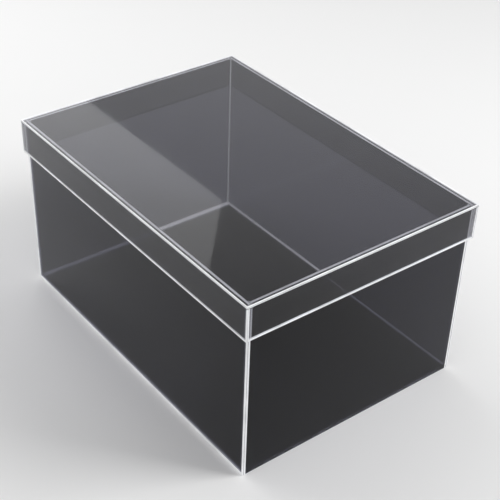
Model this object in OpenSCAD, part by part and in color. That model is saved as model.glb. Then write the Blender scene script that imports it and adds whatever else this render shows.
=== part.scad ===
// Storage box of flat acrylic panes with a loose lid.
// The long panes run the full length, and the short panes butt between them, in the base and in the lid.
// The base's floor lies inside its four walls, flush with their lower edges.
// The lid's top pane lies over its four skirts and rests on the walls' upper edges.
// The origin is on the surface that the box stands on, under the middle of the box.
// X runs along the length, Y along the width (the front is at -Y), and Z is up.

/* [Base] */
// Outer length of the base
base_l = 300; // [120:1:600]
// Outer width of the base
base_w = 210; // [90:1:450]
// Height of the base's walls
base_h = 156; // [60:1:400]
// Thickness of the wall panes
wall_t = 3; // [2:0.5:8]
// Thickness of the floor pane
floor_t = 3; // [2:0.5:8]

/* [Lid] */
// Thickness of the top pane
top_t = 2; // [1.5:0.5:6]
// Thickness of the skirt panes
skirt_t = 2; // [1.5:0.5:6]
// Height of the whole lid, from the skirts' lower edges to the top's upper face
lid_h = 30; // [12:1:55]
// Clearance between the skirts and the walls, on each side
lid_fit = 0.5; // [0.3:0.1:2]

/* [Cement] */
// Thickness of the cement film between two panes
film_t = 0.2; // [0.1:0.05:0.5]
// Size of the cement bead along the floor, inside the base
floor_bead = 1.2; // [0.5:0.1:3]
// Size of the cement bead in the upright corners, inside the base
corner_bead = 0.8; // [0.4:0.1:3]
// Thickness that a bead keeps at its two tips
bead_tip = 0.1; // [0.05:0.05:0.3]

/* [Colours] */
// Colour of the acrylic sheet
sheet_colour = "dimgray"; // [dimgray, gray, lightgray, lightblue]
// Opacity of the acrylic sheet
sheet_opacity = 0.35; // [0.1:0.05:1]
// Colour of the set cement
cement_colour = "whitesmoke"; // [whitesmoke, white, lightgray]

/* [Hidden] */

// Inside of the base, between the walls' inner faces
inner_l = base_l - 2 * wall_t;
inner_w = base_w - 2 * wall_t;

// Outside of the lid, and the space between its skirts
lid_l = base_l + 2 * (lid_fit + skirt_t);
lid_w = base_w + 2 * (lid_fit + skirt_t);
lid_inner_l = lid_l - 2 * skirt_t;
lid_inner_w = lid_w - 2 * skirt_t;

// Heights of the lid's faces above the surface
lid_bottom_z = base_h + top_t - lid_h;
skirt_top_z = base_h - film_t;
skirt_h = skirt_top_z - lid_bottom_z;

// Facets round a full circle of a bead's hollow face
bead_fn = 32;

// One flat pane or cement film, centred on X and Y, standing on Z = 0
module slab(l, w, h) {
    translate([-l / 2, -w / 2, 0])
        cube([l, w, h]);
}

module sheet() {
    color(sheet_colour, sheet_opacity)
        children();
}

module cement() {
    color(cement_colour)
        children();
}

// Section of a bead in the corner at the origin, between +X and +Y: a square with a round hollow
module bead_section(size) {
    difference() {
        square(size);
        translate([size + bead_tip, size + bead_tip])
            circle(r = size, $fn = bead_fn);
    }
}

// A bead along +X on a floor, whose corner line is the X axis, with the wall towards -Y
module bead_along_x(l, size) {
    translate([-l / 2, 0, 0])
        rotate([90, 0, 90])
            linear_extrude(l)
                bead_section(size);
}

// Long wall pane, at the front (side = -1) or the back (side = 1)
module long_wall(side) {
    sheet()
        translate([0, side * (base_w - wall_t) / 2, 0])
            slab(base_l, wall_t, base_h);
}

// Short wall pane between the long ones, on the left (side = -1) or the right (side = 1)
module short_wall(side) {
    sheet()
        translate([side * (base_l - wall_t) / 2, 0, 0])
            slab(wall_t, inner_w - 2 * film_t, base_h);
}

module base_floor() {
    sheet()
        slab(inner_l - 2 * film_t, inner_w - 2 * film_t, floor_t);
}

// Cement along one long edge of the floor: a film in the joint and a bead above it
module long_floor_seam(side) {
    cement()
        rotate([0, 0, side > 0 ? 180 : 0])
            translate([0, -inner_w / 2, 0]) {
                translate([0, film_t / 2, 0])
                    slab(inner_l, film_t, floor_t);
                translate([0, 0, floor_t])
                    bead_along_x(inner_l, floor_bead);
            }
}

// Cement along one short edge of the floor, between the long edges' films and beads
module short_floor_seam(side) {
    cement()
        rotate([0, 0, side > 0 ? 90 : -90])
            translate([0, -inner_l / 2, 0]) {
                translate([0, film_t / 2, 0])
                    slab(inner_w - 2 * film_t, film_t, floor_t);
                translate([0, 0, floor_t])
                    bead_along_x(inner_w - 2 * floor_bead, floor_bead);
            }
}

// Cement in one upright corner: a film on the short wall's end and a bead above the floor's beads
module corner_seam(x_side, y_side) {
    cement() {
        translate([
            x_side * (base_l - wall_t) / 2,
            y_side * (inner_w - film_t) / 2,
            0
        ])
            slab(wall_t, film_t, base_h);
        translate([x_side * inner_l / 2, y_side * inner_w / 2, floor_t + floor_bead])
            mirror([x_side > 0 ? 1 : 0, 0, 0])
                mirror([0, y_side > 0 ? 1 : 0, 0])
                    linear_extrude(base_h - floor_t - floor_bead)
                        bead_section(corner_bead);
    }
}

module lid_top() {
    sheet()
        translate([0, 0, base_h])
            slab(lid_l, lid_w, top_t);
}

// Long skirt pane of the lid, at the front (side = -1) or the back (side = 1)
module long_skirt(side) {
    sheet()
        translate([0, side * (lid_w - skirt_t) / 2, lid_bottom_z])
            slab(lid_l, skirt_t, skirt_h);
}

// Short skirt pane between the long ones, on the left (side = -1) or the right (side = 1)
module short_skirt(side) {
    sheet()
        translate([side * (lid_l - skirt_t) / 2, 0, lid_bottom_z])
            slab(skirt_t, lid_inner_w - 2 * film_t, skirt_h);
}

// Cement film between the top pane and one long skirt
module long_lid_seam(side) {
    cement()
        translate([0, side * (lid_w - skirt_t) / 2, skirt_top_z])
            slab(lid_l, skirt_t, film_t);
}

// Cement film between the top pane and one short skirt
module short_lid_seam(side) {
    cement()
        translate([side * (lid_l - skirt_t) / 2, 0, skirt_top_z])
            slab(skirt_t, lid_inner_w, film_t);
}

// Cement film on one end of a short skirt, against the long skirt
module lid_corner_seam(x_side, y_side) {
    cement()
        translate([
            x_side * (lid_l - skirt_t) / 2,
            y_side * (lid_inner_w - film_t) / 2,
            lid_bottom_z
        ])
            slab(skirt_t, film_t, skirt_h);
}

base_floor();
long_wall(-1);  // base_front
long_wall(1);  // base_back
short_wall(-1);  // base_left
short_wall(1);  // base_right

long_floor_seam(-1);  // floor_seam_front
long_floor_seam(1);  // floor_seam_back
short_floor_seam(-1);  // floor_seam_left
short_floor_seam(1);  // floor_seam_right

corner_seam(-1, -1);  // corner_seam_front_left
corner_seam(1, -1);  // corner_seam_front_right
corner_seam(-1, 1);  // corner_seam_back_left
corner_seam(1, 1);  // corner_seam_back_right

lid_top();
long_skirt(-1);  // lid_front
long_skirt(1);  // lid_back
short_skirt(-1);  // lid_left
short_skirt(1);  // lid_right

long_lid_seam(-1);  // lid_seam_front
long_lid_seam(1);  // lid_seam_back
short_lid_seam(-1);  // lid_seam_left
short_lid_seam(1);  // lid_seam_right

lid_corner_seam(-1, -1);  // lid_corner_seam_front_left
lid_corner_seam(1, -1);  // lid_corner_seam_front_right
lid_corner_seam(-1, 1);  // lid_corner_seam_back_left
lid_corner_seam(1, 1);  // lid_corner_seam_back_right
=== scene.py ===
"""Storage box of smoke-tinted acrylic panes with a loose lid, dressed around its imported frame.

Lengths are in metres. X runs along the box's length, Y along its width with the front at -Y, and Z is up.
"""

import math

import bpy
import numpy as np
from mathutils import Matrix, Vector


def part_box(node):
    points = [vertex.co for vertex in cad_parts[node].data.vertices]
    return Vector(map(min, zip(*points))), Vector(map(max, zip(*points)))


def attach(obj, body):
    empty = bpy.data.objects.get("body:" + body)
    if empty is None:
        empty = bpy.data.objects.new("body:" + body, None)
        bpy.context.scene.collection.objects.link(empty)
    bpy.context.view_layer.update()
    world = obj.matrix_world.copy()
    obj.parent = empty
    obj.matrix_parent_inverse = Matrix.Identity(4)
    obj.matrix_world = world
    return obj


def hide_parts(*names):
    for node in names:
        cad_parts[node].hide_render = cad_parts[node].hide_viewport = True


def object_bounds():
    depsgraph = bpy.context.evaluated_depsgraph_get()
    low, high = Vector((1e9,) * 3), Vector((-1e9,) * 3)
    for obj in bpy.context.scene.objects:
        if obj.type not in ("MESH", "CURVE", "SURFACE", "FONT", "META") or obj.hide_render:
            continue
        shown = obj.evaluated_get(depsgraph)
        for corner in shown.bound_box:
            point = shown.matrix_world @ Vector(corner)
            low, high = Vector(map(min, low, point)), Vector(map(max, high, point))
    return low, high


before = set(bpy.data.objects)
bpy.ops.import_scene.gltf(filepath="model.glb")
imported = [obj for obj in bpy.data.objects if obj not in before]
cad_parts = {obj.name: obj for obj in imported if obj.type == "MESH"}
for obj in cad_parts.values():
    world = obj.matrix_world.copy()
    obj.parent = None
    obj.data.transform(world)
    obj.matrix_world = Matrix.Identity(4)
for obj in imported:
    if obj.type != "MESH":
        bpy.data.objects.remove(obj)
CAD_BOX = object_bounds()

bl_info = {
    "name": "Acrylic Storage Box",
    "version": (1, 0, 0),
    "blender": (4, 5, 0),
    "location": "3D View > Sidebar > Acrylic Box",
    "description": "Builds a storage box of tinted acrylic panes with a loose lid, and the studio around it",
    "category": "Add Mesh",
}

MM = 0.001

# The cut sides of a pane, as the axis and the way that each one faces
LEFT, RIGHT = (0, -1), (0, 1)
FRONT, BACK = (1, -1), (1, 1)
UNDER, OVER = (2, -1), (2, 1)

# Material slots of a pane: the sheet, a cut edge that is partly frosted and partly a painted highlight, and
# its core along the edge's middle, painted dimmer for the dark sheet seen through it
SHEET, EDGE_HIGHLIGHT, EDGE_CORE_HIGHLIGHT = 0, 1, 2

# Rows of faces on each side's half of an arris
ARRIS_STEPS = 3

# Points of a pane that round to the same multiple of this are one
SAME_POINT = 0.001 * MM

# Share of a wall's thickness that is painted bright along its top edge, as a painted highlight
TOP_HIGHLIGHT_SHARE = 0.62

# Joints whose cement set clear, by how their names start
CLEAR_JOINTS = ("floor_seam_right", "lid_seam")

# How strongly light bends in acrylic and its cement
ACRYLIC_IOR = 1.49

# Colour of the painted glow that the bright edges and milky joints give off, though they are no lamps, and
# the share of it left on the core of an edge
PAINTED_GLOW_COLOUR = (0.97, 0.98, 1.0, 1.0)
CORE_PAINTED_GLOW_SHARE = 0.5

# Share of an edge's colour that is left where the saw has dulled it
DULL_SHARE = 0.68

# Pattern scales of the sheet's haze, the saw's marks, an edge's dull clouds, the cement's bubbles and the
# floor's grain, and the roughness of the noise itself
HAZE_SCALE = 14.0
SAW_SCALE = 900.0
CLOUD_SCALE = 40.0
BUBBLE_SCALE = 1400.0
GRAIN_SCALE = 600.0
NOISE_ROUGHNESS = 0.55

# The part of each pattern's own values over which it takes effect
HAZE_REACH = (0.35, 0.7)
SAW_REACH = (0.3, 0.7)
CLOUD_REACH = (0.35, 0.6)
BUBBLE_REACH = (0.0, 0.6)

# Roughness of each finish at the two ends of its pattern, and of the floor all over
HAZE_ROUGHNESS = (0.012, 0.045)
SAW_ROUGHNESS = (0.25, 0.45)
BUBBLE_ROUGHNESS = (0.3, 0.12)
FLOOR_ROUGHNESS = 0.9

# Depths of the bumps, and the strength of the floor's bump and gloss
SAW_DEPTH = 0.04 * MM
BUBBLE_DEPTH = 0.08 * MM
GRAIN_DEPTH = 0.1 * MM
GRAIN_STRENGTH = 0.3
FLOOR_GLOSS = 0.1

# The floor: radii of its rings, points round each ring, and how far it lies under the box
FLOOR_RADII = (0.5, 2.0, 9.0)
FLOOR_TURNS = 48
FLOOR_DROP = 0.1 * MM

# Side of the square back lamp, and its distance from the origin
BACK_LAMP_SIZE = 0.7
BACK_LAMP_DISTANCE = 1.6

# Width of the camera's sensor in millimetres, and the nearest and furthest that the camera sees
SENSOR_WIDTH = 36.0
NEAREST, FURTHEST = 0.01, 50.0

# Times that light may bounce, in all and through sheet, and between mirroring faces
SHEET_BOUNCES = 32
MIRROR_BOUNCES = 12

WHITE = (1.0, 1.0, 1.0, 1.0)


class SheetSettings(bpy.types.PropertyGroup):
    """Sizes and colours of the acrylic sheet and its cement."""

    base_tint: bpy.props.FloatVectorProperty(
        name="Base tint",
        description="Colour of the light that one thick pane of the base lets through",
        subtype="COLOR",
        size=3,
        min=0.0,
        max=1.0,
        default=(0.095, 0.095, 0.125),
    )
    lid_tint: bpy.props.FloatVectorProperty(
        name="Lid tint",
        description="Colour of the light that one thin pane of the lid lets through, and of clear cement",
        subtype="COLOR",
        size=3,
        min=0.0,
        max=1.0,
        default=(0.46, 0.46, 0.485),
    )
    gloss: bpy.props.FloatProperty(
        name="Gloss",
        description="Strength of the mirror image seen straight on in a pane, as a share of clear acrylic's",
        subtype="FACTOR",
        min=0.0,
        max=1.0,
        default=0.2,
    )
    # Partly the frosted sawn edge and partly a painted highlight for the light that the chosen edges catch
    edge_frost_and_highlight_colour: bpy.props.FloatVectorProperty(
        name="Edge colour",
        description="Colour of the sawn and scraped edges, which gather the light",
        subtype="COLOR",
        size=3,
        min=0.0,
        max=1.0,
        default=(0.72, 0.725, 0.74),
    )
    # A dimmer painted highlight in the middle of a bright edge, painted darker for the dark sheet seen
    # through it
    core_frost_and_highlight_colour: bpy.props.FloatVectorProperty(
        name="Edge core colour",
        description="Colour of the middle of a cut edge",
        subtype="COLOR",
        size=3,
        min=0.0,
        max=1.0,
        default=(0.42, 0.425, 0.45),
    )
    cement_colour: bpy.props.FloatVectorProperty(
        name="Cement colour",
        description="Colour of the milky cement in the joints",
        subtype="COLOR",
        size=3,
        min=0.0,
        max=1.0,
        default=(0.6, 0.605, 0.63),
    )
    # Painted glow: emission on the bright edges and the milky joints, which are no lamps
    painted_glow: bpy.props.FloatProperty(
        name="Edge glow",
        description="Light that the sheet gathers and gives off again at its bright edges and milky joints",
        min=0.0,
        max=1.0,
        default=0.27,
    )
    # The core is painted darker, standing in for the dark sheet seen through the edge
    edge_core: bpy.props.FloatProperty(
        name="Edge core",
        description="Part of an edge's thickness, in the middle, where the sheet's own depth shows darker",
        subtype="FACTOR",
        min=0.05,
        max=0.8,
        default=0.3,
    )
    arris: bpy.props.FloatProperty(
        name="Arris",
        description="Radius of the eased arrises of a pane",
        unit="LENGTH",
        min=0.05 * MM,
        max=0.9 * MM,
        default=0.35 * MM,
    )
    # The band beside a cut edge is a painted highlight on the face
    thin_highlight_band: bpy.props.FloatProperty(
        name="Thin edge band",
        description="Width of the narrow bright band beside a cut edge, where the saw has frosted the face",
        unit="LENGTH",
        min=0.1 * MM,
        max=3.0 * MM,
        default=0.35 * MM,
    )
    # A wider painted highlight band on the lid's faces
    lid_highlight_band: bpy.props.FloatProperty(
        name="Lid edge band",
        description="Width of the bright band beside the skirts' lower edges and the top's left and back",
        unit="LENGTH",
        min=0.1 * MM,
        max=4.0 * MM,
        default=1.4 * MM,
    )
    # A wider painted highlight band on the base's faces
    base_highlight_band: bpy.props.FloatProperty(
        name="Base edge band",
        description="Width of the bright band at the front wall's lower and left edges and the floor's left",
        unit="LENGTH",
        min=0.1 * MM,
        max=4.0 * MM,
        default=2.6 * MM,
    )
    joint_gap: bpy.props.FloatProperty(
        name="Joint gap",
        description="Distance by which each pane is drawn in, which keeps its faces off the cement's",
        unit="LENGTH",
        min=0.0,
        max=0.2 * MM,
        default=0.03 * MM,
    )


class StudioSettings(bpy.types.PropertyGroup):
    """The camera and the light."""

    azimuth: bpy.props.FloatProperty(
        name="Camera azimuth",
        description="Turn of the camera round the box, from straight in front towards the right",
        subtype="ANGLE",
        default=math.radians(52.56),
    )
    elevation: bpy.props.FloatProperty(
        name="Camera elevation",
        description="Angle by which the camera looks down",
        subtype="ANGLE",
        default=math.radians(35.74),
    )
    roll: bpy.props.FloatProperty(
        name="Camera roll",
        description="Lean of the camera about its own line of sight",
        subtype="ANGLE",
        default=math.radians(1.40),
    )
    place: bpy.props.FloatVectorProperty(
        name="Camera place",
        description="Where the camera stands",
        subtype="XYZ",
        unit="LENGTH",
        size=3,
        default=(0.6119, -0.4731, 0.6138),
    )
    lens: bpy.props.FloatProperty(
        name="Lens",
        description="Focal length on a sensor 36 mm wide, in millimetres",
        unit="CAMERA",
        min=10.0,
        max=300.0,
        default=82.97,
    )
    shift: bpy.props.FloatVectorProperty(
        name="Lens shift",
        description="Shift of the lens across and up, as a share of the frame",
        size=2,
        default=(0.0377, 0.0299),
    )
    floor_colour: bpy.props.FloatVectorProperty(
        name="Floor colour",
        description="Colour of the studio floor",
        subtype="COLOR",
        size=3,
        min=0.0,
        max=1.0,
        default=(0.87, 0.87, 0.87),
    )
    sky_light: bpy.props.FloatProperty(
        name="Surrounding light",
        description="Strength of the even light from all round",
        min=0.0,
        max=2.0,
        default=0.45,
    )
    key_light: bpy.props.FloatProperty(
        name="Key light",
        description="Power of the large soft panel on the box's left, in watts",
        unit="POWER",
        min=0.0,
        max=500.0,
        default=5.5,
    )
    back_light: bpy.props.FloatProperty(
        name="Back light",
        description="Power of the square soft lamp behind the box on the right, in watts",
        unit="POWER",
        min=0.0,
        max=500.0,
        default=14.0,
    )
    back_azimuth: bpy.props.FloatProperty(
        name="Back light azimuth",
        description="Turn of the back lamp round the box, from straight in front towards the right",
        subtype="ANGLE",
        default=math.radians(135.0),
    )
    back_elevation: bpy.props.FloatProperty(
        name="Back light elevation",
        description="Height of the back lamp as an angle",
        subtype="ANGLE",
        default=math.radians(42.0),
    )
    softbox_size: bpy.props.FloatVectorProperty(
        name="Softbox size",
        description="Width and height of the soft panel",
        unit="LENGTH",
        size=2,
        default=(1.1, 1.3),
    )
    softbox_corner: bpy.props.FloatVectorProperty(
        name="Softbox corner",
        description="Place of the panel's back corner, from which its width and height run",
        subtype="XYZ",
        unit="LENGTH",
        size=3,
        default=(-0.973, 0.713, 0.964),
    )
    softbox_down: bpy.props.FloatVectorProperty(
        name="Softbox down",
        description="Direction of the panel's height, down and forwards from the corner",
        subtype="DIRECTION",
        size=3,
        default=(-0.224, -0.671, -0.707),
    )
    softbox_across: bpy.props.FloatVectorProperty(
        name="Softbox across",
        description="Direction of the panel's width, up and to the right from the corner",
        subtype="DIRECTION",
        size=3,
        default=(0.673, -0.483, 0.561),
    )


def direction(azimuth, elevation):
    """The unit vector from the box towards a place at an azimuth and an elevation.

    It is the sine of the azimuth to the right and its cosine to the front, both times the cosine of the
    elevation, and the elevation's sine upwards.
    """
    level = math.cos(elevation)
    return Vector((math.sin(azimuth) * level, -math.cos(azimuth) * level, math.sin(elevation)))


def new_material(name):
    """A new material, its emptied node tree and the output node in it."""
    material = bpy.data.materials.new(name)
    material.use_nodes = True
    tree = material.node_tree
    tree.nodes.clear()
    output = tree.nodes.new("ShaderNodeOutputMaterial")
    return material, tree, output


def add_node(tree, kind, **values):
    """A node of a kind. Each value sets a property of it, or the input of that name with _ for a space."""
    node = tree.nodes.new(kind)
    for key, value in values.items():
        if hasattr(node, key):
            setattr(node, key, value)
        else:
            node.inputs[key.replace("_", " ")].default_value = value
    return node


def object_pattern(tree, scale, detail):
    """Noise on Object coordinates. Its Fac runs from about 0.3 to 0.7."""
    place = add_node(tree, "ShaderNodeTexCoord")
    noise = add_node(
        tree, "ShaderNodeTexNoise", Scale=scale, Detail=detail, Roughness=NOISE_ROUGHNESS
    )
    tree.links.new(place.outputs["Object"], noise.inputs["Vector"])
    return noise.outputs["Fac"]


def in_range(tree, value, reach, result):
    """The value moved from the range of reach to the range of result, and held inside it."""
    node = add_node(
        tree,
        "ShaderNodeMapRange",
        From_Min=reach[0],
        From_Max=reach[1],
        To_Min=result[0],
        To_Max=result[1],
    )
    tree.links.new(value, node.inputs["Value"])
    return node.outputs["Result"]


def bump(tree, height, depth, strength=1.0):
    """The normal of a surface whose height is given, for a bump of a depth in metres."""
    node = add_node(tree, "ShaderNodeBump", Strength=strength, Distance=depth)
    tree.links.new(height, node.inputs["Height"])
    return node.outputs["Normal"]


def sheet_material(name, tint, gloss):
    """Smoke-tinted acrylic: clear glossy sheet with a little haze from handling.

    Lamps shine straight through it. A ray crosses both faces of a pane, so each face lets the root of the
    tint through.
    """
    material, tree, output = new_material(name)
    shader = add_node(
        tree,
        "ShaderNodeBsdfPrincipled",
        Base_Color=(*tint, 1.0),
        IOR=ACRYLIC_IOR,
        Transmission_Weight=1.0,
        Specular_Tint=(gloss, gloss, gloss, 1.0),
    )
    haze = object_pattern(tree, HAZE_SCALE, detail=4.0)
    tree.links.new(in_range(tree, haze, HAZE_REACH, HAZE_ROUGHNESS), shader.inputs["Roughness"])

    face_tint = (*(math.sqrt(part) for part in tint), 1.0)
    through = add_node(tree, "ShaderNodeBsdfTransparent", Color=face_tint)
    path = add_node(tree, "ShaderNodeLightPath")
    mix = add_node(tree, "ShaderNodeMixShader")
    tree.links.new(path.outputs["Is Shadow Ray"], mix.inputs["Fac"])
    tree.links.new(shader.outputs["BSDF"], mix.inputs[1])
    tree.links.new(through.outputs["BSDF"], mix.inputs[2])
    tree.links.new(mix.outputs["Shader"], output.inputs["Surface"])
    return material


def edge_material(name, colour, painted_glow):
    """Sawn and scraped acrylic edge: satin, with fine saw marks and duller clouds; its brightness is partly
    the frosted edge and partly a painted highlight, with a painted glow given off.
    """
    material, tree, output = new_material(name)
    # The emission is a painted glow: the edge gives off light though it is no lamp
    shader = add_node(
        tree,
        "ShaderNodeBsdfPrincipled",
        IOR=ACRYLIC_IOR,
        Emission_Color=PAINTED_GLOW_COLOUR,
        Emission_Strength=painted_glow,
    )
    marks = object_pattern(tree, SAW_SCALE, detail=2.0)
    cloud = object_pattern(tree, CLOUD_SCALE, detail=3.0)
    shades = add_node(tree, "ShaderNodeMix", data_type="RGBA")
    shades.inputs["A"].default_value = (*(part * DULL_SHARE for part in colour), 1.0)
    shades.inputs["B"].default_value = (*colour, 1.0)
    tree.links.new(in_range(tree, cloud, CLOUD_REACH, (0.0, 1.0)), shades.inputs["Factor"])
    tree.links.new(shades.outputs["Result"], shader.inputs["Base Color"])
    tree.links.new(in_range(tree, marks, SAW_REACH, SAW_ROUGHNESS), shader.inputs["Roughness"])
    tree.links.new(bump(tree, marks, SAW_DEPTH), shader.inputs["Normal"])
    tree.links.new(shader.outputs["BSDF"], output.inputs["Surface"])
    return material


def cement_material(name, colour, painted_glow, clearness):
    """Set cement with small bubbles, from milky at a clearness of 0 to clear at 1, with a painted glow of
    the given strength.
    """
    material, tree, output = new_material(name)
    # The emission is a painted glow on the milky cement
    shader = add_node(
        tree,
        "ShaderNodeBsdfPrincipled",
        Base_Color=(*colour, 1.0),
        IOR=ACRYLIC_IOR,
        Transmission_Weight=clearness,
        Emission_Color=PAINTED_GLOW_COLOUR,
        Emission_Strength=painted_glow,
    )
    place = add_node(tree, "ShaderNodeTexCoord")
    bubbles = add_node(tree, "ShaderNodeTexVoronoi", Scale=BUBBLE_SCALE)
    tree.links.new(place.outputs["Object"], bubbles.inputs["Vector"])
    hollow = bubbles.outputs["Distance"]
    tree.links.new(bump(tree, hollow, BUBBLE_DEPTH), shader.inputs["Normal"])
    tree.links.new(in_range(tree, hollow, BUBBLE_REACH, BUBBLE_ROUGHNESS), shader.inputs["Roughness"])
    tree.links.new(shader.outputs["BSDF"], output.inputs["Surface"])
    return material


def floor_material(colour):
    """Seamless studio paper."""
    material, tree, output = new_material("studio_paper")
    shader = add_node(
        tree,
        "ShaderNodeBsdfPrincipled",
        Base_Color=(*colour, 1.0),
        Roughness=FLOOR_ROUGHNESS,
        Specular_IOR_Level=FLOOR_GLOSS,
    )
    grain = object_pattern(tree, GRAIN_SCALE, detail=3.0)
    tree.links.new(bump(tree, grain, GRAIN_DEPTH, GRAIN_STRENGTH), shader.inputs["Normal"])
    tree.links.new(shader.outputs["BSDF"], output.inputs["Surface"])
    return material


def make_object(name, points, faces, materials, slots=None):
    """An object at the origin whose mesh has these points and faces, and a material slot for each face."""
    mesh = bpy.data.meshes.new(name)
    mesh.from_pydata(points.tolist(), [], faces)
    for material in materials:
        mesh.materials.append(material)
    if slots is not None:
        mesh.polygons.foreach_set("material_index", slots.astype(np.int32))
    mesh.update()
    piece = bpy.data.objects.new(name, mesh)
    bpy.context.scene.collection.objects.link(piece)
    return piece


def spaced(half, arris, bands):
    """Places along one axis of a pane, from -half to half.

    There are even steps over each arris, and one line where the painted highlight band of each side painted
    bright stops.
    """
    near = half - arris + arris * np.linspace(0.0, 1.0, ARRIS_STEPS + 1)
    lines = [way * (half - arris - band) for way, band in bands]
    return np.unique(np.concatenate([-near, lines, near]))


def pane_surface(low, high, thin, arris, bright, tops, core_part):
    """A flat pane between two corners with eased arrises, as points, faces and material slots.

    Each of the six sides is a surface of two parameters a and b on a grid over that side. Where a or b lies
    within the arris of the side's border, the point leaves the flat for a round corner: it is the nearest
    point of the pane drawn in by the arris, plus the arris times the unit vector of (tan a', tan b', 1),
    where a' and b' run from 0 to 45 degrees across the arris.

    thin is the axis across the pane. bright gives the width of the painted highlight band beside each edge
    painted bright, core_part the share of the thickness painted as the dimmer core, and tops the edges
    painted bright in the middle alone.
    """
    low, high = np.array(low), np.array(high)
    middle, half = (low + high) / 2, (high - low) / 2
    core = half - arris
    places = [
        spaced(half[axis], arris, [(way, bright[axis, way]) for way in (-1, 1) if (axis, way) in bright])
        for axis in range(3)
    ]
    inner = half[thin] * np.array([-TOP_HIGHLIGHT_SHARE, -core_part, core_part, TOP_HIGHLIGHT_SHARE])
    places[thin] = np.unique(np.concatenate([places[thin], inner]))
    points, faces, slots = [], [], []
    count = 0
    for axis in range(3):
        first, second = (axis + 1) % 3, (axis + 2) % 3
        a, b = np.meshgrid(places[first], places[second], indexing="ij")
        mid_a = (a[:-1, :-1] + a[1:, :-1]) / 2
        mid_b = (b[:-1, :-1] + b[:-1, 1:]) / 2
        from_middle = np.abs(mid_a if first == thin else mid_b)
        for sign in (-1, 1):
            flat = np.zeros(a.shape + (3,))
            flat[..., first] = np.clip(a, -core[first], core[first])
            flat[..., second] = np.clip(b, -core[second], core[second])
            flat[..., axis] = sign * core[axis]
            out = np.zeros_like(flat)
            out[..., first] = np.tan((a - flat[..., first]) / arris * math.pi / 4)
            out[..., second] = np.tan((b - flat[..., second]) / arris * math.pi / 4)
            out[..., axis] = sign
            out /= np.linalg.norm(out, axis=-1, keepdims=True)
            index = count + np.arange(a.size).reshape(a.shape)
            count += a.size
            ring = [index[:-1, :-1], index[1:, :-1], index[1:, 1:], index[:-1, 1:]]
            if sign < 0:
                ring.reverse()
            slot = np.full(mid_a.shape, SHEET)
            # Sides painted bright get the edge highlight, with a dimmer painted core in the middle; tops are
            # painted bright in the middle alone
            if (axis, sign) in bright:
                slot = np.where(from_middle < half[thin] * core_part, EDGE_CORE_HIGHLIGHT, EDGE_HIGHLIGHT)
            if (axis, sign) in tops:
                slot = np.where(from_middle < half[thin] * TOP_HIGHLIGHT_SHARE, EDGE_HIGHLIGHT, SHEET)
            # On the broad faces, a band beside each edge painted bright is a painted highlight too
            if axis == thin:
                for other, mid in ((first, mid_a), (second, mid_b)):
                    for way in (-1, 1):
                        if (other, way) in bright:
                            slot[mid * way > core[other] - bright[other, way]] = EDGE_HIGHLIGHT
            points.append((middle + flat + arris * out).reshape(-1, 3))
            faces.append(np.stack(ring, axis=-1).reshape(-1, 4))
            slots.append(slot.reshape(-1))
    points = np.concatenate(points)
    faces = np.concatenate(faces)
    slots = np.concatenate(slots)
    keys = np.round(points / SAME_POINT).astype(np.int64)
    _, kept, merged = np.unique(keys, axis=0, return_index=True, return_inverse=True)
    return points[kept], merged.reshape(-1)[faces], slots


def add_pane(node, body, thin, narrow=(), wide=(), tops=()):
    """One pane in the place of its CAD node, drawn in by the joint gap on every side.

    thin is the axis across the pane. narrow and wide are the cut edges painted bright as a highlight, with a
    thin or a wide painted highlight band beside them, and tops are painted bright in the middle of their
    thickness alone.
    """
    settings = bpy.context.scene.acrylic_sheet
    low, high = (np.array(corner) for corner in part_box(node))
    gap = settings.joint_gap
    wide_band = settings.base_highlight_band if body == "base" else settings.lid_highlight_band
    # Widths of the painted highlight bands beside the edges painted bright
    bright = {side: settings.thin_highlight_band for side in narrow}
    bright.update({side: wide_band for side in wide})
    points, faces, slots = pane_surface(
        low + gap, high - gap, thin, settings.arris, bright, tops, settings.edge_core
    )
    finishes = (MATERIALS[body + "_sheet"], MATERIALS["edge"], MATERIALS["core"])
    piece = make_object(node + "_pane", points, faces.tolist(), finishes, slots)
    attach(piece, body)
    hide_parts(node)


MATERIALS = {}


def make_materials():
    """The finishes, made once. Clear cement takes the lid's tint and gives off no light."""
    if not MATERIALS:
        settings = bpy.context.scene.acrylic_sheet
        painted_glow = settings.painted_glow
        MATERIALS["base_sheet"] = sheet_material("smoke_acrylic_base", settings.base_tint, settings.gloss)
        MATERIALS["lid_sheet"] = sheet_material("smoke_acrylic_lid", settings.lid_tint, settings.gloss)
        # Painted highlights and painted glow on the cut edges and their cores
        MATERIALS["edge"] = edge_material("cut_edge_highlight", settings.edge_frost_and_highlight_colour, painted_glow)
        MATERIALS["core"] = edge_material("cut_edge_core_highlight", settings.core_frost_and_highlight_colour, painted_glow * CORE_PAINTED_GLOW_SHARE)
        # The milky cement has a painted glow too; the clear cement has none
        MATERIALS["cement"] = cement_material(
            "milky_cement", settings.cement_colour, painted_glow=painted_glow, clearness=0.0
        )
        MATERIALS["clear_cement"] = cement_material(
            "clear_cement", settings.lid_tint, painted_glow=0.0, clearness=1.0
        )


class ACRYLIC_OT_base_floor(bpy.types.Operator):
    """Makes the floor pane of the base."""

    bl_idname = "acrylic.base_floor"
    bl_label = "Base Floor"

    def execute(self, context):
        make_materials()
        # The floor's back and left cut edges are painted highlights
        add_pane("base_floor", "base", 2, narrow=[BACK], wide=[LEFT])
        return {"FINISHED"}


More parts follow.
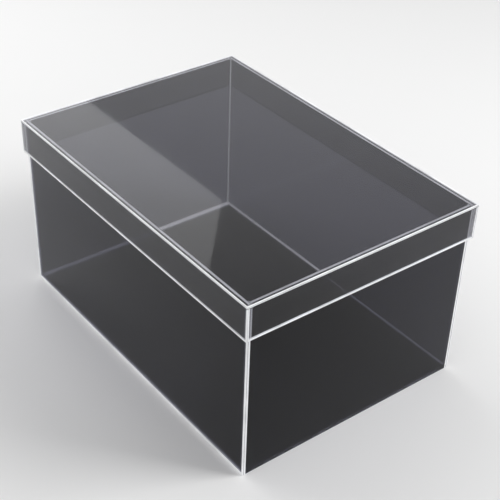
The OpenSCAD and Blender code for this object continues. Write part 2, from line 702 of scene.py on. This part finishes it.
class ACRYLIC_OT_base_walls(bpy.types.Operator):
    """Makes the four walls of the base."""

    bl_idname = "acrylic.base_walls"
    bl_label = "Base Walls"

    def execute(self, context):
        make_materials()
        # Painted highlights on the chosen cut edges of the walls and along their top edges
        add_pane("base_front", "base", 1, narrow=[RIGHT], wide=[LEFT, UNDER], tops=[OVER])
        add_pane("base_back", "base", 1, narrow=[LEFT, RIGHT], tops=[OVER])
        add_pane("base_left", "base", 0, tops=[OVER])
        add_pane("base_right", "base", 0, tops=[OVER])
        return {"FINISHED"}


class ACRYLIC_OT_lid_panes(bpy.types.Operator):
    """Makes the lid's top and its four skirts."""

    bl_idname = "acrylic.lid_panes"
    bl_label = "Lid Panes"

    def execute(self, context):
        make_materials()
        # Painted highlights on the chosen cut edges of the lid's panes
        add_pane("lid_top", "lid", 2, narrow=[RIGHT, FRONT], wide=[LEFT, BACK])
        add_pane("lid_front", "lid", 1, narrow=[LEFT, RIGHT], wide=[UNDER])
        add_pane("lid_back", "lid", 1, narrow=[LEFT, RIGHT], wide=[UNDER])
        add_pane("lid_left", "lid", 0, wide=[UNDER])
        add_pane("lid_right", "lid", 0, wide=[UNDER])
        return {"FINISHED"}


class ACRYLIC_OT_cement(bpy.types.Operator):
    """Finishes the set cement in the joints."""

    bl_idname = "acrylic.cement"
    bl_label = "Cement"

    def execute(self, context):
        make_materials()
        for name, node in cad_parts.items():
            if "seam" in name:
                finish = "clear_cement" if name.startswith(CLEAR_JOINTS) else "cement"
                node.data.materials.clear()
                node.data.materials.append(MATERIALS[finish])
        return {"FINISHED"}


class ACRYLIC_OT_studio(bpy.types.Operator):
    """Sets up the floor, the light and the camera."""

    bl_idname = "acrylic.studio"
    bl_label = "Studio"

    def execute(self, context):
        settings = context.scene.acrylic_studio
        self.add_floor(settings)
        self.add_world(context, settings)
        self.add_lamps(context, settings)
        self.add_camera(context, settings)
        self.set_render(context)
        return {"FINISHED"}

    def add_floor(self, settings):
        """A round floor: the point at radius r and angle t is (r cos t, r sin t), just under the box."""
        turns = np.linspace(0.0, 2 * math.pi, FLOOR_TURNS, endpoint=False)
        r, t = np.meshgrid(FLOOR_RADII, turns, indexing="ij")
        rings = np.stack([r * np.cos(t), r * np.sin(t), np.zeros_like(r)], axis=-1).reshape(-1, 3)
        points = np.concatenate([np.zeros((1, 3)), rings])
        points[:, 2] = CAD_BOX[0][2] - FLOOR_DROP
        index = 1 + np.arange(r.size).reshape(r.shape)
        after = np.roll(index, -1, axis=1)
        fan = np.stack([np.zeros_like(index[0]), index[0], after[0]], axis=-1)
        quads = np.stack([index[:-1], index[1:], after[1:], after[:-1]], axis=-1).reshape(-1, 4)
        paper = floor_material(settings.floor_colour)
        floor = make_object("studio_floor", points, fan.tolist() + quads.tolist(), [paper])

    def add_world(self, context, settings):
        """White where the camera sees it, in the panes too, and even light for all else."""
        world = bpy.data.worlds.new("studio")
        context.scene.world = world
        world.use_nodes = True
        tree = world.node_tree
        tree.nodes.clear()
        output = tree.nodes.new("ShaderNodeOutputWorld")
        path = add_node(tree, "ShaderNodeLightPath")
        seen = path.outputs["Is Camera Ray"]
        for kind in ("Is Glossy Ray", "Is Transmission Ray"):
            either = add_node(tree, "ShaderNodeMath", operation="MAXIMUM")
            tree.links.new(seen, either.inputs[0])
            tree.links.new(path.outputs[kind], either.inputs[1])
            seen = either.outputs["Value"]
        light = add_node(tree, "ShaderNodeBackground", Color=WHITE, Strength=settings.sky_light)
        backdrop = add_node(tree, "ShaderNodeBackground", Color=WHITE, Strength=1.0)
        mix = add_node(tree, "ShaderNodeMixShader")
        tree.links.new(seen, mix.inputs["Fac"])
        tree.links.new(light.outputs["Background"], mix.inputs[1])
        tree.links.new(backdrop.outputs["Background"], mix.inputs[2])
        tree.links.new(mix.outputs["Shader"], output.inputs["Surface"])

    def add_lamps(self, context, settings):
        """The soft panel, spread from its corner by its width and height, and the lamp at the back."""
        width, height = settings.softbox_size
        down = Vector(settings.softbox_down).normalized()
        across = Vector(settings.softbox_across)
        across = (across - across.dot(down) * down).normalized()
        middle = Vector(settings.softbox_corner) + across * width / 2 + down * height / 2
        turn = Matrix((across, -down, across.cross(-down))).transposed()
        self.hang_lamp(context, "key_softbox", (width, height), settings.key_light, middle, turn)

        away = direction(settings.back_azimuth, settings.back_elevation)
        sides = (BACK_LAMP_SIZE, BACK_LAMP_SIZE)
        turn = away.to_track_quat("Z", "Y").to_matrix()
        place = away * BACK_LAMP_DISTANCE
        self.hang_lamp(context, "back_lamp", sides, settings.back_light, place, turn)

    def hang_lamp(self, context, name, sides, power, place, turn):
        """A soft lamp of two sides that shines against its own Z axis. The camera doesn't see it."""
        lamp = bpy.data.lights.new(name, "AREA")
        lamp.shape = "RECTANGLE"
        lamp.size, lamp.size_y = sides
        lamp.energy = power
        holder = bpy.data.objects.new(name, lamp)
        holder.visible_camera = False
        holder.matrix_world = Matrix.Translation(place) @ turn.to_4x4()
        context.scene.collection.objects.link(holder)

    def add_camera(self, context, settings):
        """The camera, turned by its azimuth and elevation and then about its line of sight."""
        data = bpy.data.cameras.new("camera")
        data.lens = settings.lens
        data.sensor_width = SENSOR_WIDTH
        data.shift_x, data.shift_y = settings.shift
        data.clip_start, data.clip_end = NEAREST, FURTHEST
        camera = bpy.data.objects.new("camera", data)
        back = direction(settings.azimuth, settings.elevation)
        turn = back.to_track_quat("Z", "Y").to_matrix() @ Matrix.Rotation(settings.roll, 3, "Z")
        camera.matrix_world = Matrix.Translation(settings.place) @ turn.to_4x4()
        context.scene.collection.objects.link(camera)
        context.scene.camera = camera

    def set_render(self, context):
        """Plain colours, and bounces enough for light to pass all the panes."""
        scene = context.scene
        scene.view_settings.view_transform = "Standard"
        scene.cycles.max_bounces = SHEET_BOUNCES
        scene.cycles.transmission_bounces = SHEET_BOUNCES
        scene.cycles.transparent_max_bounces = SHEET_BOUNCES
        scene.cycles.glossy_bounces = MIRROR_BOUNCES


class ACRYLIC_PT_panel(bpy.types.Panel):
    """Lists the steps and the settings."""

    bl_idname = "ACRYLIC_PT_panel"
    bl_label = "Acrylic Box"
    bl_space_type = "VIEW_3D"
    bl_region_type = "UI"
    bl_category = "Acrylic Box"

    def draw(self, context):
        layout = self.layout
        for operator in STEPS:
            layout.operator(operator.bl_idname)
        for settings in (context.scene.acrylic_sheet, context.scene.acrylic_studio):
            for name in settings.__annotations__:
                layout.prop(settings, name)


STEPS = (
    ACRYLIC_OT_studio,
    ACRYLIC_OT_base_floor,
    ACRYLIC_OT_base_walls,
    ACRYLIC_OT_lid_panes,
    ACRYLIC_OT_cement,
)
CLASSES = (SheetSettings, StudioSettings, *STEPS, ACRYLIC_PT_panel)


def register():
    """Registers the classes and puts the settings on the scene."""
    for cls in CLASSES:
        bpy.utils.register_class(cls)
    bpy.types.Scene.acrylic_sheet = bpy.props.PointerProperty(type=SheetSettings)
    bpy.types.Scene.acrylic_studio = bpy.props.PointerProperty(type=StudioSettings)


def unregister():
    """Takes the settings off the scene and the classes away."""
    del bpy.types.Scene.acrylic_studio
    del bpy.types.Scene.acrylic_sheet
    for cls in reversed(CLASSES):
        bpy.utils.unregister_class(cls)


def main():
    """Makes every piece in order."""
    register()
    bpy.ops.acrylic.studio()
    bpy.ops.acrylic.base_floor()
    bpy.ops.acrylic.base_walls()
    bpy.ops.acrylic.lid_panes()
    bpy.ops.acrylic.cement()


if __name__ == "__main__":
    main()
